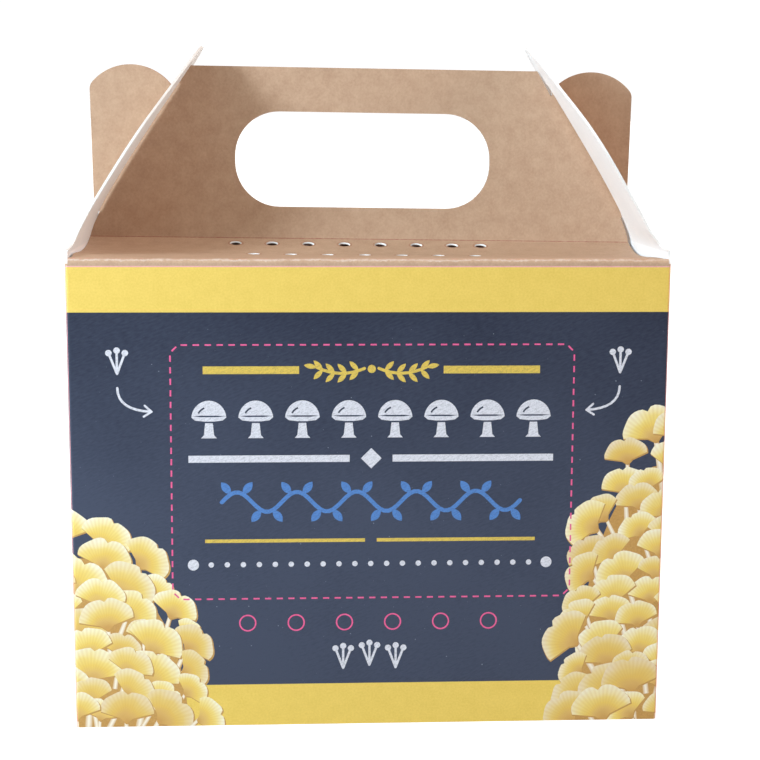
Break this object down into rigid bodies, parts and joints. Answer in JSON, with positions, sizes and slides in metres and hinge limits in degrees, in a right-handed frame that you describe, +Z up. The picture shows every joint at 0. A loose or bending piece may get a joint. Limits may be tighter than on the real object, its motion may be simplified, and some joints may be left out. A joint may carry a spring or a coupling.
{
  "type": "mushroom grow kit carton",
  "caption": "Folded board carry carton of a mushroom grow kit, with a double hand-hole handle, vented roof panels and hinged side flaps that hook over the handle's ears.",
  "frame": {"origin": "middle of the carton's footprint, on the surface that it stands on", "axes": "+X along the width to the right as seen from the front, +Y from the front wall to the back wall, +Z up"},
  "size_m": [0.2, 0.125, 0.2314],
  "materials": {
    "printed_board": "satin printed",
    "kraft_board": "matt",
    "white_board": "matt"
  },
  "bodies": {
    "carton": {"front_wall": "printed_board", "back_wall": "printed_board", "left_wall": "printed_board", "right_wall": "printed_board", "glue_tab": "white_board", "bottom_front_flap": "kraft_board", "bottom_back_flap": "kraft_board", "bottom_left_flap": "kraft_board", "bottom_right_flap": "kraft_board", "front_roof": "kraft_board", "back_roof": "kraft_board", "front_handle": "kraft_board", "back_handle": "kraft_board"},
    "left_flap": {"left_side_flap": "white_board"},
    "right_flap": {"right_side_flap": "white_board"}
  },
  "joints": [
    {"name": "left_flap_crease", "type": "hinge", "parent": "carton", "child": "left_flap", "pos_m": [-0.0996, 0, 0.162], "axis": [0, -1, 0], "range_deg": [0, 110]},
    {"name": "right_flap_crease", "type": "hinge", "parent": "carton", "child": "right_flap", "pos_m": [0.0996, 0, 0.162], "axis": [0, 1, 0], "range_deg": [0, 110]}
  ]
}
